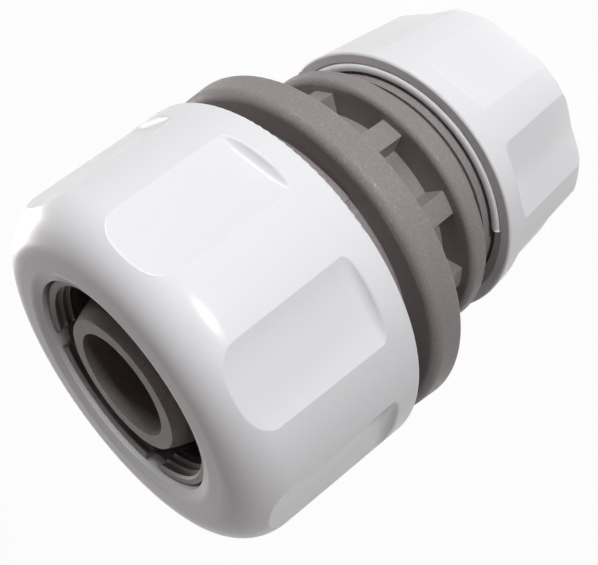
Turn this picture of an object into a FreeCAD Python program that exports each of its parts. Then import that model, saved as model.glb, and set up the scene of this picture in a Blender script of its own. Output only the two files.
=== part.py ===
import FreeCAD, Part
import math
import os

# Hose repair connector: a grey core with a barbed stem at each end, a large and a small
# white nut screwed on it, and a slotted grip ring inside each nut. Everything is coaxial
# with Z. The small nut's end face lies on Z = 0, so the connector stands on it with the
# large mouth up. Millimetres.

# How many of each feature go round the axis
GRIP_COUNT = 8
RIB_COUNT = 10
FINGER_COUNT = 4

# Lengths along the axis, from the small nut's end face up
SMALL_NUT_LENGTH = 18.2
SMALL_NUT_GAP = 3.9
SMALL_FLANGE_THICKNESS = 2.4
WAIST_LENGTH = 8.7
LARGE_FLANGE_THICKNESS = 3.9
LARGE_NUT_GAP = 3.5
LARGE_NUT_LENGTH = 22.2

SMALL_FLANGE_Z = SMALL_NUT_LENGTH + SMALL_NUT_GAP
WAIST_Z = SMALL_FLANGE_Z + SMALL_FLANGE_THICKNESS
LARGE_FLANGE_Z = WAIST_Z + WAIST_LENGTH
LARGE_SPIGOT_Z = LARGE_FLANGE_Z + LARGE_FLANGE_THICKNESS
LARGE_NUT_Z = LARGE_SPIGOT_Z + LARGE_NUT_GAP
TOP_Z = LARGE_NUT_Z + LARGE_NUT_LENGTH

# Large end, for a hose of 19 mm bore
LARGE = {
    "length": LARGE_NUT_LENGTH,
    "stem_r": 9.5,
    "stem_wall": 2.95,
    "stem_lead": 0.55,
    "stem_tip": 1.25,
    "barb_height": 0.7,
    "hose_wall": 2.65,
    "spigot_r": 19.3,
    "spigot_wall": 3.3,
    "flange_inset": 0.1,
    "flange_taper": 0.45,
    "flange_round": 1.2,
    "nut_wall": 3.4,
    "nut_taper": 1.45,
    "shoulder": 5.2,
    "thread_depth": 12.3,
    "ring_flange": 1.4,
    "slot_width": 2.7,
    "slot_phase": 52.0,
    "pocket_floor": 1.5,
    "pocket_wall_r": 20.0,
    "pocket_wall_tilt": 20.0,
    "pocket_depth": 0.85,
    "pocket_slope": 3.3,
    "pocket_phase": -15.0,
}

# Small end, for a hose of 13 mm bore
SMALL = {
    "length": SMALL_NUT_LENGTH,
    "stem_r": 6.6,
    "stem_wall": 2.0,
    "stem_lead": 0.4,
    "stem_tip": 0.8,
    "barb_height": 0.6,
    "hose_wall": 2.2,
    "spigot_r": 16.15,
    "spigot_wall": 3.0,
    "flange_inset": 0.45,
    "flange_taper": 0.3,
    "flange_round": 0.8,
    "nut_wall": 2.5,
    "nut_taper": 1.15,
    "shoulder": 1.5,
    "thread_depth": 10.4,
    "ring_flange": 1.3,
    "slot_width": 2.2,
    "slot_phase": 45.0,
    "pocket_floor": 0.3,
    "pocket_wall_r": 6.0,
    "pocket_wall_tilt": 5.0,
    "pocket_depth": 1.05,
    "pocket_slope": 3.7,
    "pocket_phase": 24.6,
}

# Fits
THREAD_CLEARANCE = 0.25
SEAT_GAP = 0.3
END_PLAY = 0.2

# Threads, at the middle height of their ridges
NECK_DROP = 0.5
NECK_LENGTH = 2.6
RECESS_STEP = 1.2
RECESS_DEPTH = 0.6

# Hose stems
STEM_RECESS = 0.85
STEM_LEAD_LENGTH = 3.0
STEM_TIP_LENGTH = 1.4
BARB_COUNT = 4
BARB_PITCH = 3.0
BARB_LAND = 0.6

# Nuts
CONE_STEP = 1.8
RIM_EDGE = 0.3
MOUTH_LIP = 2.5
MOUTH_BEVEL = 1.2
MOUTH_BEVEL_DEPTH = 0.5
MOUTH_ROUND = 1.5
SHOULDER_LIMIT = 0.8
POCKET_REAR = 3.4
POCKET_REAR_LEAN = 25.0
POCKET_REAR_ROUND = 1.2
POCKET_EDGE = 0.3
SHARP_ANGLE = 8.0

# Grip rings
FINGER_WALL = 1.8
FINGER_TIP_WALL = 0.88
FINGER_TIP_DEPTH = 1.1
TOOTH_COUNT = 3
TOOTH_PITCH = 1.0
TOOTH_HEIGHT = 0.45
TOOTH_LAND = 0.25

# Flanges, waist and the web between the two bores
FLANGE_BACK_EDGE = 0.4
RIB_SETBACK = 1.75
RIB_HEIGHT = 2.7
RIB_WIDTH = 2.9
RIB_PHASE = 3.0
RIB_ROOT = 1.0
WAIST_WALL = 2.2
WEB_THICKNESS = 4.5
WEB_SETBACK = 2.0
JOIN = 0.4

# What follows from the sizes of each end: the grip ring fits round the hose, the mouth
# and the cone round the ring, and the nut, its thread and the flange round the spigot
for end in (LARGE, SMALL):
    end["bore_r"] = end["stem_r"] - end["stem_wall"]
    end["grip_r"] = end["stem_r"] + end["hose_wall"]
    end["mouth_r"] = end["grip_r"] + FINGER_TIP_WALL + SEAT_GAP
    end["thread_r"] = end["spigot_r"] + THREAD_CLEARANCE
    end["rim_r"] = end["thread_r"] + end["nut_wall"]
    end["face_r"] = end["rim_r"] - end["nut_taper"]
    end["cone_r"] = end["thread_r"] - CONE_STEP
    end["cone_top"] = end["length"] - MOUTH_LIP
    end["cone_slope"] = (end["cone_r"] - end["mouth_r"]) / (end["cone_top"] - end["thread_depth"])
    end["ring_top"] = end["thread_depth"] - SEAT_GAP
    end["ring_z"] = end["ring_top"] - end["ring_flange"]
    end["spigot_length"] = end["ring_z"] + SEAT_GAP - END_PLAY
    end["flange_r"] = end["rim_r"] - end["flange_inset"]

RIB_R = SMALL["flange_r"] - RIB_SETBACK
WAIST_R = RIB_R - RIB_HEIGHT
WEB_Z = WAIST_Z + WEB_SETBACK

ORIGIN = FreeCAD.Vector(0, 0, 0)
X_AXIS = FreeCAD.Vector(1, 0, 0)
Y_AXIS = FreeCAD.Vector(0, 1, 0)
Z_AXIS = FreeCAD.Vector(0, 0, 1)


def turned(outline):
    """The solid that a closed half section of (radius, height) points makes when turned."""
    points = [FreeCAD.Vector(radius, 0, height) for radius, height in outline]
    wire = Part.makePolygon(points + points[:1])
    return Part.Face(wire).revolve(ORIGIN, Z_AXIS, 360)


def rounded(solid, circles):
    """Round the circular edges that lie at the given (radius, height, fillet)."""
    for radius, height, fillet in circles:
        picked = [e for e in solid.Edges
                  if isinstance(e.Curve, Part.Circle)
                  and abs(e.Curve.Radius - radius) < 0.01
                  and abs(e.Curve.Center.z - height) < 0.01]
        solid = solid.makeFillet(fillet, picked)
    return solid


def sharp_edges(solid):
    """The open edges, not whole circles, at which two faces meet at an angle."""
    picked = []
    for edge in solid.Edges:
        faces = solid.ancestorsOfType(edge, Part.Face)
        if edge.isClosed() or len(faces) != 2:
            continue
        middle = edge.valueAt((edge.FirstParameter + edge.LastParameter) / 2)
        one, other = [face.normalAt(*face.Surface.parameter(middle)) for face in faces]
        if math.degrees(one.getAngle(other)) > SHARP_ANGLE:
            picked.append(edge)
    return picked


def spun(solid, angle):
    """A copy turned about the axis by an angle in degrees."""
    copy = solid.copy()
    copy.rotate(ORIGIN, Z_AXIS, angle)
    return copy


def flipped(solid, height):
    """A copy turned end for end, with what was at Z = 0 now at the given height."""
    copy = solid.copy()
    copy.rotate(ORIGIN, X_AXIS, 180)
    copy.translate(Z_AXIS * height)
    return copy


def barbed_stem(end, root_z, tip_z):
    """A hose stem with its tip up: a smooth land, then barbs ramped towards the tip."""
    valley_r = end["stem_r"] - end["barb_height"]
    outline = [(end["bore_r"], root_z), (end["stem_r"], root_z)]
    for k in reversed(range(BARB_COUNT)):
        crest = tip_z - STEM_LEAD_LENGTH - k * BARB_PITCH
        outline += [(end["stem_r"], crest - BARB_PITCH), (valley_r, crest - BARB_LAND),
                    (end["stem_r"], crest - BARB_LAND)]
    outline += [(end["stem_r"], tip_z - STEM_LEAD_LENGTH),
                (end["stem_r"] - end["stem_lead"], tip_z - STEM_TIP_LENGTH),
                (end["stem_r"] - end["stem_tip"], tip_z), (end["bore_r"], tip_z)]
    return turned(outline)


def pocket_cutter(end):
    """The tool for one grip pocket: a hollow floor and a leaning rear wall.

    The floor is flat in the middle, then curves up on each side to its tilt and goes on
    straight. It starts at Z = POCKET_REAR, under the turned outside of the nut there, and
    slopes in towards the mouth.
    """
    reach = 2 * end["length"]
    span = end["rim_r"] / 2
    floor = end["pocket_floor"]
    radius = end["pocket_wall_r"]
    tilt = math.radians(end["pocket_wall_tilt"])
    sides = []
    for side in (-1, 1):
        corner = [FreeCAD.Vector(0, side * floor, 0)]
        for turn in (tilt / 2, tilt):
            corner.append(FreeCAD.Vector(radius * (1 - math.cos(turn)),
                                         side * (floor + radius * math.sin(turn)), 0))
        rise = (span - abs(corner[-1].y)) * math.tan(tilt)
        corner.append(FreeCAD.Vector(corner[-1].x + rise, side * span, 0))
        corner.append(FreeCAD.Vector(span, side * span, 0))
        sides.append(corner)
    edges = [Part.Arc(*corner[:3]).toShape() for corner in sides]
    edges += [Part.makeLine(*corner[2:4]) for corner in sides]
    edges += [Part.makeLine(*corner[3:]) for corner in sides]
    edges += [Part.makeLine(sides[0][0], sides[1][0]), Part.makeLine(sides[0][4], sides[1][4])]
    section = Part.Face(Part.Wire(Part.__sortEdges__(edges)))
    bar = section.extrude(Z_AXIS * reach)
    bar.translate(Z_AXIS * (-reach / 2))
    keep = Part.makeBox(reach, reach, reach, FreeCAD.Vector(-reach / 2, -reach / 2, 0))
    keep.rotate(ORIGIN, Y_AXIS, POCKET_REAR_LEAN)
    tool = bar.common(keep)
    rear = min(tool.Faces, key=lambda face: face.CenterOfMass.z)
    inner = [edge for edge in rear.Edges if edge.CenterOfMass.x < span / 2]
    tool = tool.makeFillet(POCKET_REAR_ROUND, inner)
    tool.rotate(ORIGIN, Y_AXIS, -end["pocket_slope"])
    rear_r = end["rim_r"] - end["nut_taper"] * POCKET_REAR / end["length"]
    tool.translate(FreeCAD.Vector(rear_r - end["pocket_depth"], 0, POCKET_REAR))
    return tool


def nut(end):
    """A nut with its rim on Z = 0 and its mouth up: threaded bore, cone, grip pockets."""
    length = end["length"]
    recess_r = end["thread_r"] + RECESS_STEP
    bevel_r = end["mouth_r"] + MOUTH_BEVEL
    shoulder = min(end["shoulder"], SHOULDER_LIMIT * (end["face_r"] - bevel_r))
    solid = turned([
        (recess_r, 0), (end["rim_r"], 0), (end["face_r"], length), (bevel_r, length),
        (end["mouth_r"], length - MOUTH_BEVEL_DEPTH), (end["mouth_r"], end["cone_top"]),
        (end["cone_r"], end["thread_depth"]), (end["thread_r"], end["thread_depth"]),
        (end["thread_r"], RECESS_DEPTH), (recess_r, RECESS_DEPTH)])
    solid = rounded(solid, [(end["face_r"], length, shoulder),
                            (bevel_r, length, MOUTH_ROUND),
                            (end["rim_r"], 0, RIM_EDGE)])
    cutter = pocket_cutter(end)
    for k in range(GRIP_COUNT):
        solid = solid.cut(spun(cutter, end["pocket_phase"] + k * 360 / GRIP_COUNT))
    return solid.makeFillet(POCKET_EDGE, sharp_edges(solid))


def grip_ring(end):
    """A grip ring in its nut's own frame: a flange under the nut's step, toothed fingers."""
    slant = math.hypot(1, end["cone_slope"])
    flange_r = end["spigot_r"] - SEAT_GAP
    tip_r = end["mouth_r"] - SEAT_GAP
    tip_z = end["length"] - FINGER_TIP_DEPTH
    neck_z = end["cone_top"] - SEAT_GAP * (slant - 1) / end["cone_slope"]
    back_r = tip_r + (neck_z - end["thread_depth"]) * end["cone_slope"]
    inner_r = back_r - FINGER_WALL * slant
    valley_r = end["grip_r"] + TOOTH_HEIGHT
    outline = [(inner_r, end["ring_z"]), (flange_r, end["ring_z"]), (flange_r, end["ring_top"]),
               (back_r, end["ring_top"]), (back_r, end["thread_depth"]), (tip_r, neck_z),
               (tip_r, tip_z), (end["grip_r"] + TOOTH_LAND, tip_z)]
    for k in range(TOOTH_COUNT):
        tooth_z = tip_z - TOOTH_LAND - k * TOOTH_PITCH
        outline += [(end["grip_r"], tooth_z), (valley_r, tooth_z - TOOTH_PITCH + TOOTH_LAND)]
    last_z = tip_z - TOOTH_LAND - TOOTH_COUNT * TOOTH_PITCH
    outline += [(valley_r, last_z), (inner_r, end["thread_depth"])]
    solid = turned(outline)
    slot = Part.makeBox(flange_r, end["slot_width"], end["length"],
                        FreeCAD.Vector(0, -end["slot_width"] / 2, end["ring_top"]))
    for k in range(FINGER_COUNT):
        solid = solid.cut(spun(slot, end["slot_phase"] + k * 360 / FINGER_COUNT))
    return solid


def connector_body():
    """The moulded core: stems, spigots, two flanges and the ribbed waist between them."""
    large_top = LARGE_SPIGOT_Z + LARGE["spigot_length"]
    small_top = SMALL_FLANGE_Z - SMALL["spigot_length"]
    large_hollow = LARGE["spigot_r"] - LARGE["spigot_wall"]
    small_hollow = SMALL["spigot_r"] - SMALL["spigot_wall"]
    large_neck = LARGE["spigot_r"] - NECK_DROP
    small_neck = SMALL["spigot_r"] - NECK_DROP
    large_front = LARGE["flange_r"] - LARGE["flange_taper"]
    small_front = SMALL["flange_r"] - SMALL["flange_taper"]
    waist_hollow = WAIST_R - WAIST_WALL
    web_top = WEB_Z + WEB_THICKNESS
    body = turned([
        (LARGE["bore_r"], WEB_Z), (waist_hollow, WEB_Z),
        (waist_hollow, SMALL_FLANGE_Z + JOIN), (small_hollow, SMALL_FLANGE_Z + JOIN),
        (small_hollow, small_top), (SMALL["spigot_r"], small_top),
        (SMALL["spigot_r"], SMALL_FLANGE_Z - NECK_LENGTH),
        (small_neck, SMALL_FLANGE_Z - NECK_LENGTH), (small_neck, SMALL_FLANGE_Z),
        (SMALL["flange_r"], SMALL_FLANGE_Z), (small_front, WAIST_Z),
        (WAIST_R, WAIST_Z), (WAIST_R, LARGE_FLANGE_Z),
        (LARGE["flange_r"], LARGE_FLANGE_Z), (large_front, LARGE_SPIGOT_Z),
        (large_neck, LARGE_SPIGOT_Z), (large_neck, LARGE_SPIGOT_Z + NECK_LENGTH),
        (LARGE["spigot_r"], LARGE_SPIGOT_Z + NECK_LENGTH), (LARGE["spigot_r"], large_top),
        (large_hollow, large_top), (large_hollow, LARGE_SPIGOT_Z - JOIN),
        (waist_hollow, LARGE_SPIGOT_Z - JOIN), (waist_hollow, web_top),
        (LARGE["bore_r"], web_top)])
    body = rounded(body, [
        (large_front, LARGE_SPIGOT_Z, LARGE["flange_round"]),
        (LARGE["flange_r"], LARGE_FLANGE_Z, FLANGE_BACK_EDGE),
        (small_front, WAIST_Z, SMALL["flange_round"]),
        (SMALL["flange_r"], SMALL_FLANGE_Z, FLANGE_BACK_EDGE)])
    tip_z = TOP_Z - STEM_RECESS
    large_stem = barbed_stem(LARGE, web_top - JOIN, tip_z)
    small_stem = flipped(barbed_stem(SMALL, TOP_Z - WEB_Z - JOIN, tip_z), TOP_Z)
    funnel = turned([(SMALL["bore_r"], WEB_Z), (LARGE["bore_r"] + JOIN, WEB_Z),
                     (LARGE["bore_r"] + JOIN, web_top), (LARGE["bore_r"], web_top)])
    rounding = Part.makeCylinder(RIB_R, WAIST_LENGTH, Z_AXIS * WAIST_Z)
    rib = Part.makeBox(RIB_R, RIB_WIDTH, WAIST_LENGTH,
                       FreeCAD.Vector(WAIST_R - RIB_ROOT, -RIB_WIDTH / 2, WAIST_Z))
    ribs = [spun(rib.common(rounding), RIB_PHASE + k * 360 / RIB_COUNT)
            for k in range(RIB_COUNT)]
    return body.fuse([large_stem, small_stem, funnel] + ribs).removeSplitter()


def main():
    os.makedirs("parts", exist_ok=True)
    parts = {
        "connector_body": connector_body(),
        "large_nut": nut(LARGE),
        "large_grip_ring": grip_ring(LARGE),
        "small_nut": nut(SMALL),
        "small_grip_ring": grip_ring(SMALL),
    }
    for node in ("large_nut", "large_grip_ring"):
        parts[node].translate(Z_AXIS * LARGE_NUT_Z)
    for node in ("small_nut", "small_grip_ring"):
        parts[node] = flipped(parts[node], SMALL_NUT_LENGTH)
    for node, shape in parts.items():
        shape.exportStep("parts/" + node + ".step")


main()
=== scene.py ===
import math

import bpy
from mathutils import Euler, Matrix, Vector


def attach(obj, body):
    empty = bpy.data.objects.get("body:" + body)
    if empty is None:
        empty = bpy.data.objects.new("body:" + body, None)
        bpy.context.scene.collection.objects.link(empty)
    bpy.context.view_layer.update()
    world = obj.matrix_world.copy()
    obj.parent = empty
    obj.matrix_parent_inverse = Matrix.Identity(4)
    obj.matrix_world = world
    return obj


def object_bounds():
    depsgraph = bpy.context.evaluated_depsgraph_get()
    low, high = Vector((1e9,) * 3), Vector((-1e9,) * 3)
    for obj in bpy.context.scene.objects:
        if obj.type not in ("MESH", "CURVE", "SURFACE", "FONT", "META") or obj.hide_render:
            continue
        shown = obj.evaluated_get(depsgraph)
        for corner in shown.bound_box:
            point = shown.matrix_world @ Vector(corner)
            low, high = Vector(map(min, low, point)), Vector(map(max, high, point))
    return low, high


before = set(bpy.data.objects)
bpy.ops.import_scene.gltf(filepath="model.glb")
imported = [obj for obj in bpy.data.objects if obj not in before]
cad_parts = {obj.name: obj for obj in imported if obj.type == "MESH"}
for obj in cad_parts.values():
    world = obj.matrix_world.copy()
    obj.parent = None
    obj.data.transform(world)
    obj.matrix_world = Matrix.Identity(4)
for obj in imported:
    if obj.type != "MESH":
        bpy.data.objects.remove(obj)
cad_low, cad_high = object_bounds()

# The core is one grey moulding in a filled plastic with a satin skin. Its flanges, ribs,
# spigots and hose stems come from the mould together. Some cells of the filler lie open
# at the surface, smoother and paler, and glint where an edge turns to the light.

CORE_GREY_DEEP = (0.240, 0.217, 0.214, 1)
CORE_GREY_PALE = (0.330, 0.300, 0.296, 1)
CORE_SHINE = 0.2
CORE_GRAINS_PER_METRE = 4500
CORE_ROUGHNESS = (0.38, 0.52)
GRAIN_RELIEF = 0.5
GRAIN_HEIGHT = 0.00006
FLAKES_PER_METRE = 6500
FLAKE_SHARE = 0.14
FLAKE_GREY = (0.345, 0.318, 0.313, 1)
FLAKE_ROUGHNESS = 0.1


def plastic(name, grains_per_metre):
    """A plastic with its tree, its skin, the place on the piece and a noise over it."""
    material = bpy.data.materials.new(name)
    material.use_nodes = True
    tree = material.node_tree
    tree.nodes.clear()
    output = tree.nodes.new("ShaderNodeOutputMaterial")
    skin = tree.nodes.new("ShaderNodeBsdfPrincipled")
    tree.links.new(skin.outputs["BSDF"], output.inputs["Surface"])
    place = tree.nodes.new("ShaderNodeTexCoord").outputs["Object"]
    noise = tree.nodes.new("ShaderNodeTexNoise")
    noise.inputs["Scale"].default_value = grains_per_metre
    tree.links.new(place, noise.inputs["Vector"])
    return material, tree, skin, place, noise.outputs["Fac"]


def spread(tree, factor, values):
    """A value that goes from the first of two to the second with a factor."""
    span = tree.nodes.new("ShaderNodeMapRange")
    span.inputs["To Min"].default_value, span.inputs["To Max"].default_value = values
    tree.links.new(factor, span.inputs["Value"])
    return span.outputs["Result"]


def blended(tree, kind, factor, first, second):
    """A mix of two values by a factor, where the first may be a socket."""
    mix = tree.nodes.new("ShaderNodeMix")
    mix.data_type = kind
    tree.links.new(factor, mix.inputs["Factor"])
    mix.inputs["B"].default_value = second
    if isinstance(first, bpy.types.NodeSocket):
        tree.links.new(first, mix.inputs["A"])
    else:
        mix.inputs["A"].default_value = first
    return mix.outputs["Result"]


def dress(node_name, material):
    """Give a carried-over solid its material."""
    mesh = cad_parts[node_name].data
    mesh.materials.clear()
    mesh.materials.append(material)


core_plastic, tree, skin, place, grain = plastic("core_satin_grey", CORE_GRAINS_PER_METRE)
skin.inputs["Specular IOR Level"].default_value = CORE_SHINE
cells = tree.nodes.new("ShaderNodeTexVoronoi")
cells.inputs["Scale"].default_value = FLAKES_PER_METRE
tree.links.new(place, cells.inputs["Vector"])
split = tree.nodes.new("ShaderNodeSeparateColor")
tree.links.new(cells.outputs["Color"], split.inputs["Color"])
flake = tree.nodes.new("ShaderNodeMath")
flake.operation = "LESS_THAN"
flake.inputs[1].default_value = FLAKE_SHARE
tree.links.new(split.outputs["Red"], flake.inputs[0])
open_cell = flake.outputs["Value"]
grey = blended(tree, "RGBA", grain, CORE_GREY_DEEP, CORE_GREY_PALE)
grey = blended(tree, "RGBA", open_cell, grey, FLAKE_GREY)
tree.links.new(grey, skin.inputs["Base Color"])
satin = blended(tree, "FLOAT", open_cell, spread(tree, grain, CORE_ROUGHNESS), FLAKE_ROUGHNESS)
tree.links.new(satin, skin.inputs["Roughness"])
relief = tree.nodes.new("ShaderNodeBump")
relief.inputs["Strength"].default_value = GRAIN_RELIEF
relief.inputs["Distance"].default_value = GRAIN_HEIGHT
tree.links.new(grain, relief.inputs["Height"])
tree.links.new(relief.outputs["Normal"], skin.inputs["Normal"])
dress("connector_body", core_plastic)

# The thread of each spigot runs out on the neck behind it as one short ridge. Both ridges
# are moulded with the core and have its plastic.

RIDGE_STEP = 1
BLUNT_END = 0.75
LARGE_NECK = 0.0187
LARGE_CREST = 0.01945
LARGE_SECTION = ((LARGE_NECK, 0.03715), (0.0193, 0.03735), (LARGE_CREST, 0.0376), (LARGE_CREST, 0.0386),
                 (LARGE_NECK, 0.039))
LARGE_START, LARGE_END = -82, -30
LARGE_CLIMB = 0.0006
LARGE_LEAD = 0.6
SMALL_NECK = 0.01555
SMALL_SECTION = ((SMALL_NECK, 0.0197), (0.0162, 0.01995), (0.0163, 0.0202), (0.0162, 0.0205),
                 (SMALL_NECK, 0.0208))
SMALL_START, SMALL_END = -112, -20
SMALL_LEAD = 0.3


def thread_ridge(name, body, material, section, start, end, climb, lead):
    """A ridge along part of a turn, blunt at its start and sunk into its root at its end.

    The section is a row of (radius, height) points that starts at the root. The angles
    are degrees round the axis. Climb is the rise from start to end, and lead the share of
    the ridge over which it sinks.
    """
    steps = math.ceil((end - start) / RIDGE_STEP)
    root = section[0][0]
    points = []
    for step in range(steps + 1):
        share = step / steps
        turn = math.radians(start + share * (end - start))
        swell = min(1, (1 - share) / lead) if step else BLUNT_END
        for radius, height in section:
            reach = root + (radius - root) * swell
            points.append((reach * math.cos(turn), reach * math.sin(turn), height + climb * share))
    count = len(section)
    last = steps * count
    faces = [tuple(range(count)), tuple(reversed(range(last, last + count)))]
    for near in range(0, last, count):
        for side in range(count):
            after = (side + 1) % count
            faces.append((near + side, near + after, near + count + after, near + count + side))
    mesh = bpy.data.meshes.new(name)
    mesh.from_pydata(points, [], faces)
    mesh.validate()
    mesh.flip_normals()
    for polygon in mesh.polygons:
        polygon.use_smooth = len(polygon.vertices) == 4
    mesh.materials.append(material)
    ridge = bpy.data.objects.new(name, mesh)
    bpy.context.scene.collection.objects.link(ridge)
    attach(ridge, body)


thread_ridge("large_thread_end", "core", core_plastic,
             LARGE_SECTION, LARGE_START, LARGE_END, climb=LARGE_CLIMB, lead=LARGE_LEAD)
thread_ridge("small_thread_end", "core", core_plastic,
             SMALL_SECTION, SMALL_START, SMALL_END, climb=0, lead=SMALL_LEAD)

# Both nuts are moulded in a glossy white plastic that lets a little light in. Eight grips
# are scooped out of the wall of each, with crisp edges on the large nut.

NUT_WHITE = (0.875, 0.88, 0.89, 1)
NUT_INDEX = 1.38
NUT_ROUGHNESS = (0.2, 0.3)
NUT_RIPPLES_PER_METRE = 90
LIGHT_SHARE = 0.12
LIGHT_DEPTH = (0.0009, 0.0008, 0.0007)

nut_plastic, tree, skin, place, ripple = plastic("nut_gloss_white", NUT_RIPPLES_PER_METRE)
skin.inputs["Base Color"].default_value = NUT_WHITE
skin.inputs["IOR"].default_value = NUT_INDEX
skin.inputs["Subsurface Weight"].default_value = LIGHT_SHARE
skin.inputs["Subsurface Radius"].default_value = LIGHT_DEPTH
skin.inputs["Subsurface Scale"].default_value = 1
tree.links.new(spread(tree, ripple, NUT_ROUGHNESS), skin.inputs["Roughness"])
dress("large_nut", nut_plastic)
dress("small_nut", nut_plastic)

# A rounded ridge with a blunt end stands in the rim of the small nut, round its bore. It
# is moulded with the nut, as the start of its thread.

RIM_WALL = 0.01748
RIM_BORE = 0.01642
RIM_FLOOR = 0.0175
RIM_SECTION = ((RIM_WALL, RIM_FLOOR), (RIM_WALL, 0.01805), (0.01735, 0.0183), (0.0171, 0.01845),
               (0.0168, 0.0185), (0.01655, 0.01842), (RIM_BORE, 0.0182), (RIM_BORE, RIM_FLOOR))
RIM_START, RIM_END = -130.7, 40
RIM_LEAD = 0.3

thread_ridge("small_nut_thread", "small_nut", nut_plastic,
             RIM_SECTION, RIM_START, RIM_END, climb=0, lead=RIM_LEAD)

# The grip rings are slotted clamping rings, moulded in a tougher and slightly darker grey
# plastic. Each lies in the cone of its nut, with its flange under the nut's step.

RING_GREY_DEEP = (0.21, 0.19, 0.188, 1)
RING_GREY_PALE = (0.25, 0.228, 0.225, 1)
RING_ROUGHNESS = (0.4, 0.55)
RING_CLOUDS_PER_METRE = 160

ring_plastic, tree, skin, place, clouds = plastic("ring_dark_grey", RING_CLOUDS_PER_METRE)
tree.links.new(blended(tree, "RGBA", clouds, RING_GREY_DEEP, RING_GREY_PALE), skin.inputs["Base Color"])
tree.links.new(spread(tree, clouds, RING_ROUGHNESS), skin.inputs["Roughness"])
dress("large_grip_ring", ring_plastic)
dress("small_grip_ring", ring_plastic)

# The floor is a plain pale sheet under the small nut's end face. It keeps the connector's
# shadow, and shows almost white to the camera and in reflections.

FLOOR_REACH = 1.2
FLOOR_PALE = (0.8, 0.8, 0.8, 1)
FLOOR_GLOW = 0.97
WHITE = (1, 1, 1, 1)


def sees_background(tree):
    """1 for the rays that see the background: camera, glossy and transmission rays."""
    path = tree.nodes.new("ShaderNodeLightPath")
    seen = path.outputs["Is Camera Ray"]
    for ray in ("Is Glossy Ray", "Is Transmission Ray"):
        either = tree.nodes.new("ShaderNodeMath")
        either.operation = "MAXIMUM"
        tree.links.new(seen, either.inputs[0])
        tree.links.new(path.outputs[ray], either.inputs[1])
        seen = either.outputs["Value"]
    return seen


floor_corners = [(-FLOOR_REACH, -FLOOR_REACH, 0), (FLOOR_REACH, -FLOOR_REACH, 0),
                 (FLOOR_REACH, FLOOR_REACH, 0), (-FLOOR_REACH, FLOOR_REACH, 0)]
floor_mesh = bpy.data.meshes.new("floor")
floor_mesh.from_pydata(floor_corners, [], [(0, 1, 2, 3)])
floor = bpy.data.objects.new("floor", floor_mesh)
bpy.context.scene.collection.objects.link(floor)
floor_paper = bpy.data.materials.new("floor_white")
floor_paper.use_nodes = True
tree = floor_paper.node_tree
tree.nodes.clear()
output = tree.nodes.new("ShaderNodeOutputMaterial")
paper = tree.nodes.new("ShaderNodeBsdfDiffuse")
paper.inputs["Color"].default_value = FLOOR_PALE
glow = tree.nodes.new("ShaderNodeEmission")
glow.inputs["Color"].default_value = WHITE
glow.inputs["Strength"].default_value = 1
share = tree.nodes.new("ShaderNodeMath")
share.operation = "MULTIPLY"
share.inputs[1].default_value = FLOOR_GLOW
tree.links.new(sees_background(tree), share.inputs[0])
mix = tree.nodes.new("ShaderNodeMixShader")
tree.links.new(share.outputs["Value"], mix.inputs["Fac"])
tree.links.new(paper.outputs["BSDF"], mix.inputs[1])
tree.links.new(glow.outputs["Emission"], mix.inputs[2])
tree.links.new(mix.outputs["Shader"], output.inputs["Surface"])
floor_mesh.materials.append(floor_paper)

# The room round the connector is dim and warm. It is white to the camera and in
# reflections.

ROOM_WARM = (1, 0.72, 0.72, 1)
ROOM_LIGHT = 0.07

world = bpy.data.worlds.new("studio")
bpy.context.scene.world = world
world.use_nodes = True
tree = world.node_tree
tree.nodes.clear()
sky = tree.nodes.new("ShaderNodeOutputWorld")
room = tree.nodes.new("ShaderNodeBackground")
room.inputs["Color"].default_value = ROOM_WARM
room.inputs["Strength"].default_value = ROOM_LIGHT
backdrop = tree.nodes.new("ShaderNodeBackground")
backdrop.inputs["Color"].default_value = WHITE
backdrop.inputs["Strength"].default_value = 1
mix = tree.nodes.new("ShaderNodeMixShader")
tree.links.new(sees_background(tree), mix.inputs["Fac"])
tree.links.new(room.outputs["Background"], mix.inputs[1])
tree.links.new(backdrop.outputs["Background"], mix.inputs[2])
tree.links.new(mix.outputs["Shader"], sky.inputs["Surface"])

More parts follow.
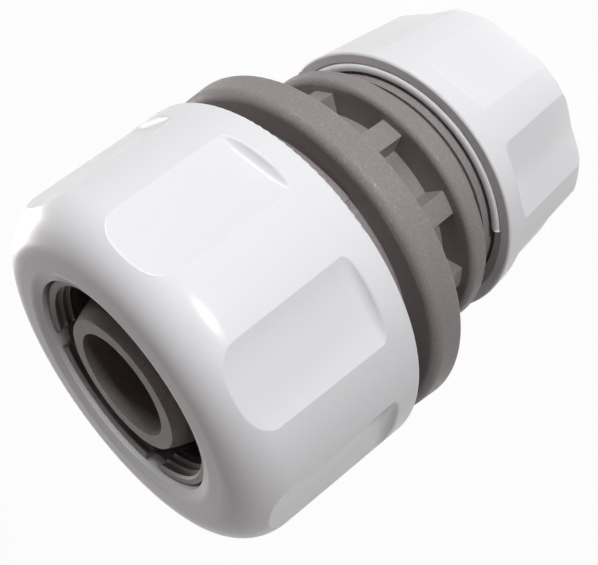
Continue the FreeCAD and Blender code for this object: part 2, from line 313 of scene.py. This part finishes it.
# Three soft lamps stand low round the connector: the key lamp in front of it, one at its
# side and one behind it.

LAMP_DISTANCE = 0.6
COOL = (0.97, 0.985, 1)
WARM = (1, 0.93, 0.93)


def soft_lamp(name, azimuth, elevation, size, power, colour):
    """A square area lamp round the connector that looks at its middle."""
    turn, rise = math.radians(azimuth), math.radians(elevation)
    way = Vector((math.cos(turn) * math.cos(rise), math.sin(turn) * math.cos(rise), math.sin(rise)))
    data = bpy.data.lights.new(name, "AREA")
    data.size = size
    data.energy = power
    data.color = colour
    lamp = bpy.data.objects.new(name, data)
    lamp.location = (cad_low + cad_high) / 2 + way * LAMP_DISTANCE
    lamp.rotation_mode = "QUATERNION"
    lamp.rotation_quaternion = way.to_track_quat("Z", "Y")
    bpy.context.scene.collection.objects.link(lamp)


soft_lamp("key_lamp", azimuth=-84, elevation=2, size=0.16, power=2.6, colour=COOL)
soft_lamp("side_lamp", azimuth=-30, elevation=4, size=0.2, power=1.25, colour=COOL)
soft_lamp("back_lamp", azimuth=60, elevation=6, size=0.3, power=2, colour=WARM)

# The camera stands where the photograph was taken from, with the large mouth turned to
# the lower left of the picture.

CAMERA_PLACE = (0.00733, -0.09107, 0.08897)
CAMERA_ELEVATION = 29.38
CAMERA_ROLL = -124.79
CAMERA_LENS = 52.47
CAMERA_SENSOR = 36
CAMERA_SHIFT = (0.0903, -0.1125)
CAMERA_NEAREST = 0.005

camera_data = bpy.data.cameras.new("camera")
camera_data.lens = CAMERA_LENS
camera_data.sensor_width = CAMERA_SENSOR
camera_data.shift_x, camera_data.shift_y = CAMERA_SHIFT
camera_data.clip_start = CAMERA_NEAREST
camera = bpy.data.objects.new("camera", camera_data)
aim = Euler((math.radians(90 - CAMERA_ELEVATION), 0, 0)).to_matrix()
roll = Matrix.Rotation(math.radians(CAMERA_ROLL), 3, "Z")
camera.matrix_world = Matrix.Translation(CAMERA_PLACE) @ (aim @ roll).to_4x4()
bpy.context.scene.collection.objects.link(camera)
bpy.context.scene.camera = camera
bpy.context.scene.view_settings.view_transform = "Standard"
